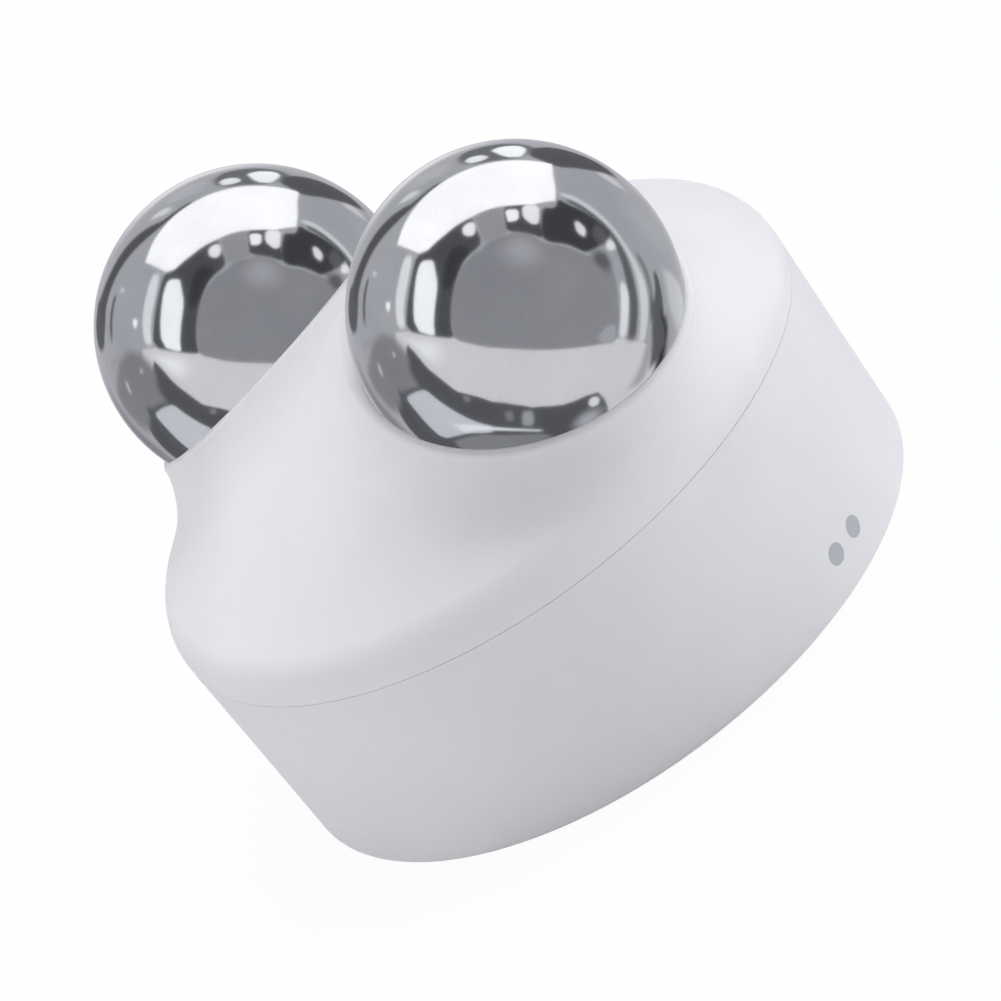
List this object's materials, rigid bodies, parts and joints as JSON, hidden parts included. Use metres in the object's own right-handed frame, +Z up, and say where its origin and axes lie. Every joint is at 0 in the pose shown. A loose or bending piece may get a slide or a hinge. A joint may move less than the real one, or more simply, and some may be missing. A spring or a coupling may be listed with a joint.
{
  "type": "facial toning device head",
  "caption": "Round white head of a facial toning device: polished contact spheres stand in tilted collars on a domed cap, over a base with a sprung contact socket.",
  "frame": {"origin": "centre of the base rim's plane, on the upright axis of the round body", "axes": "+Z up through the saddle between the spheres; +X towards the sphere that stands over the alignment dots; the latches lie along Y"},
  "size_m": [0.0556, 0.0552, 0.0432],
  "materials": {
    "base_white": "satin",
    "cap_white": "satin",
    "plate_grey": "matte",
    "dot_grey": "matte",
    "cup_grey": "matte",
    "latch_black": "smooth",
    "cover_steel": "stamped",
    "spring_steel": "drawn",
    "block_black": "matte",
    "board_green": "lacquered",
    "chip_black": "moulded",
    "pin_gold": "gold plated",
    "sphere_chrome": "mirror polished",
    "stud_steel": "turned",
    "seal_rubber": "matte",
    "strap_bronze": "stamped",
    "screw_steel": "zinc plated"
  },
  "bodies": {
    "head": {"base_shell": "base_white", "cap_shell": "cap_white", "seam_seal": "seal_rubber", "base_plate": "plate_grey", "alignment_dots": "dot_grey", "socket_cup": "cup_grey", "latch_cover_front": "cover_steel", "latch_cover_back": "cover_steel", "latch_spring_front": "spring_steel", "latch_spring_back": "spring_steel", "pin_block": "block_black", "contact_board": "board_green", "board_chips": "chip_black", "pin_barrel_1": "pin_gold", "pin_barrel_2": "pin_gold", "pin_barrel_3": "pin_gold", "pin_spring_1": "spring_steel", "pin_spring_2": "spring_steel", "pin_spring_3": "spring_steel", "sphere_right": "sphere_chrome", "sphere_left": "sphere_chrome", "sphere_stud_right": "stud_steel", "sphere_stud_left": "stud_steel", "sphere_seal_right": "seal_rubber", "sphere_seal_left": "seal_rubber", "contact_strap_right": "strap_bronze", "contact_strap_left": "strap_bronze", "stud_washer_right": "stud_steel", "stud_washer_left": "stud_steel", "stud_nut_right": "stud_steel", "stud_nut_left": "stud_steel", "housing_screws": "screw_steel", "board_screws": "screw_steel"},
    "front_latch": {"latch_front": "latch_black"},
    "back_latch": {"latch_back": "latch_black"},
    "pin_1": {"contact_pin_1": "pin_gold"},
    "pin_2": {"contact_pin_2": "pin_gold"},
    "pin_3": {"contact_pin_3": "pin_gold"}
  },
  "joints": [
    {"name": "front_latch_slide", "type": "slide", "parent": "head", "child": "front_latch", "axis": [0, -1, 0], "range_m": [0, 0.0012], "stiffness_N_per_m": 500, "springref_m": -0.001, "deforming": ["latch_spring_front"]},
    {"name": "back_latch_slide", "type": "slide", "parent": "head", "child": "back_latch", "axis": [0, 1, 0], "range_m": [0, 0.0012], "stiffness_N_per_m": 500, "springref_m": -0.001, "deforming": ["latch_spring_back"]},
    {"name": "pin_1_slide", "type": "slide", "parent": "head", "child": "pin_1", "axis": [0, 0, 1], "range_m": [0, 0.001], "stiffness_N_per_m": 400, "springref_m": -0.0005, "deforming": ["pin_spring_1"]},
    {"name": "pin_2_slide", "type": "slide", "parent": "head", "child": "pin_2", "axis": [0, 0, 1], "range_m": [0, 0.001], "stiffness_N_per_m": 400, "springref_m": -0.0005, "deforming": ["pin_spring_2"]},
    {"name": "pin_3_slide", "type": "slide", "parent": "head", "child": "pin_3", "axis": [0, 0, 1], "range_m": [0, 0.001], "stiffness_N_per_m": 400, "springref_m": -0.0005, "deforming": ["pin_spring_3"]}
  ]
}
